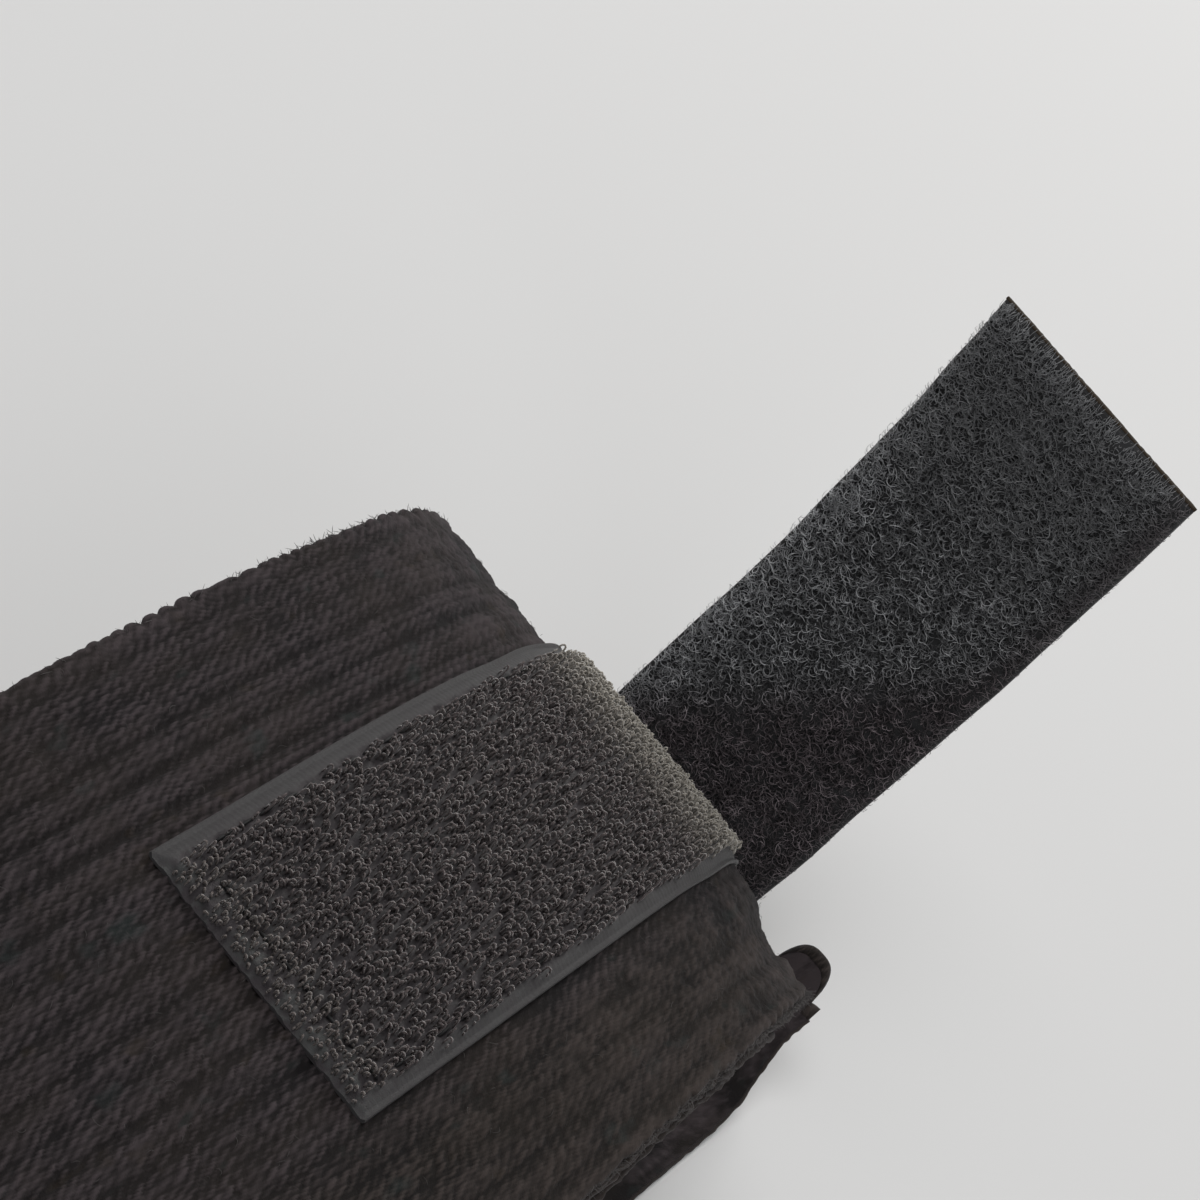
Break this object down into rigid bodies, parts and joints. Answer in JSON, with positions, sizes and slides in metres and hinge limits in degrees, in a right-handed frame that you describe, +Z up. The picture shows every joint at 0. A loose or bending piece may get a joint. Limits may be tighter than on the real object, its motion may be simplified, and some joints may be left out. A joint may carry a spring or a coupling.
{
  "type": "hand wrap",
  "caption": "Elastic boxing hand wrap wound into a flattened roll, with a hook patch on the outer layer and a hinged loop strap on its tail.",
  "frame": {"origin": "centre of the roll's flat underside, on the surface that it rests on", "axes": "+Z up, +X along the roll towards the end where the strap stands, Y across the band"},
  "size_m": [0.1503, 0.057, 0.0766],
  "materials": {
    "band_fabric": "matte elastic cotton, ribbed along the band",
    "loop_webbing": "matte narrow elastic webbing",
    "woven_tape": "woven nylon tape, slight sheen",
    "hooks": "nylon monofilament hooks",
    "loop_pile": "brushed nylon loop pile",
    "sewing_thread": "polyester sewing thread",
    "melted_edge": "heat-sealed nylon edge"
  },
  "bodies": {
    "roll": {"band_roll": "band_fabric", "band_start_hem": "band_fabric", "start_hem_stitches": "sewing_thread", "thumb_loop": "loop_webbing", "thumb_loop_stitches": "sewing_thread", "hook_tape": "woven_tape", "hook_field": "hooks", "hook_tape_stitches": "sewing_thread", "tail_band_1": "band_fabric"},
    "tail_lift": {"tail_band_2": "band_fabric"},
    "tail_rise": {"tail_band_3": "band_fabric", "strap_tape_1": "woven_tape", "strap_pile_1": "loop_pile", "box_stitches_1": "sewing_thread"},
    "strap_heel": {"tail_band_4": "band_fabric", "strap_tape_2": "woven_tape", "strap_pile_2": "loop_pile", "box_stitches_2": "sewing_thread"},
    "strap_ankle": {"tail_band_5": "band_fabric", "tail_hem": "band_fabric", "tail_hem_stitches": "sewing_thread", "strap_tape_3": "woven_tape", "strap_pile_3": "loop_pile", "box_stitches_3": "sewing_thread"},
    "strap_middle": {"strap_tape_4": "woven_tape", "strap_pile_4": "loop_pile"},
    "strap_end": {"strap_tape_5": "woven_tape", "strap_pile_5": "loop_pile", "strap_tip_seal": "melted_edge"}
  },
  "joints": [
    {"name": "strap_wrap", "type": "hinge", "parent": "roll", "child": "tail_lift", "pos_m": [0.0367, 0, 0.00045], "axis": [0, -1, 0], "range_deg": [0, 23.5]},
    {"name": "tail_curl", "type": "hinge", "parent": "tail_lift", "child": "tail_rise", "pos_m": [0.0573, 0, 0.00045], "axis": [0, -1, 0], "range_deg": [0, 16]},
    {"name": "strap_lay_back", "type": "hinge", "parent": "tail_rise", "child": "strap_heel", "pos_m": [0.06604, 0, 0.00139], "axis": [0, -1, 0], "range_deg": [-27.5, 0]},
    {"name": "heel_unbend", "type": "hinge", "parent": "strap_heel", "child": "strap_ankle", "pos_m": [0.07321, 0, 0.00512], "axis": [0, -1, 0], "range_deg": [-27.5, 0]},
    {"name": "strap_fold_low", "type": "hinge", "parent": "strap_ankle", "child": "strap_middle", "pos_m": [0.07832, 0, 0.01265], "axis": [0, -1, 0], "range_deg": [0, 22]},
    {"name": "strap_fold_high", "type": "hinge", "parent": "strap_middle", "child": "strap_end", "pos_m": [0.08675, 0, 0.03282], "axis": [0, -1, 0], "range_deg": [0, 18]}
  ],
  "couplings": [
    {"joint": "tail_curl", "follows": "strap_wrap", "ratio": 0.64},
    {"joint": "strap_fold_low", "follows": "strap_wrap", "ratio": 0.92},
    {"joint": "strap_fold_high", "follows": "strap_wrap", "ratio": 0.73},
    {"joint": "heel_unbend", "follows": "strap_lay_back", "ratio": 1}
  ]
}
